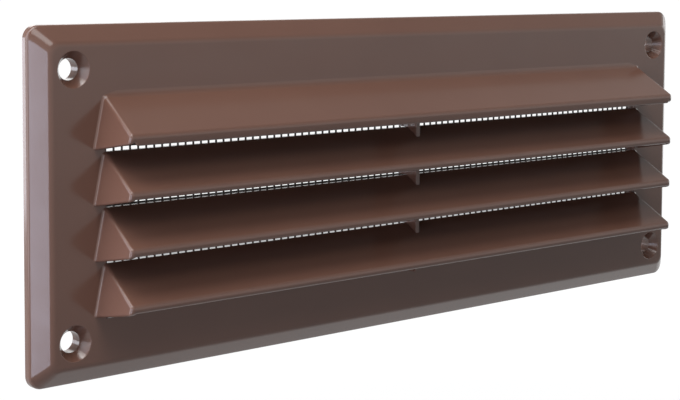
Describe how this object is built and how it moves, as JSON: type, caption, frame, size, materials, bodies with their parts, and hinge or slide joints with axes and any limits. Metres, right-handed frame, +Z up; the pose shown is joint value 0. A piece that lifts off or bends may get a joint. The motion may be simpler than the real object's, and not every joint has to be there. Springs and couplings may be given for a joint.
{
  "type": "ventilation grille",
  "caption": "Rectangular moulded louvred wall grille with a bevelled edge, countersunk corner screw holes, sloping hoods and an insect net behind its slots.",
  "frame": {"origin": "middle of the back, in the plane of the wall, between the four screw holes", "axes": "+Z up the wall, +X to the right seen from the front, -Y out of the wall towards the viewer"},
  "size_m": [0.25, 0.0196, 0.09],
  "materials": {
    "plate_plastic": "brown moulded ABS, satin gloss",
    "hood_plastic": "brown moulded ABS, satin gloss",
    "net_plastic": "dark brown welded plastic net"
  },
  "bodies": {
    "root": {"front_plate": "plate_plastic", "hood_1": "hood_plastic", "hood_2": "hood_plastic", "hood_3": "hood_plastic", "hood_4": "hood_plastic", "centre_rib": "hood_plastic", "net_uprights": "net_plastic", "net_crossbars": "net_plastic"}
  },
  "joints": []
}
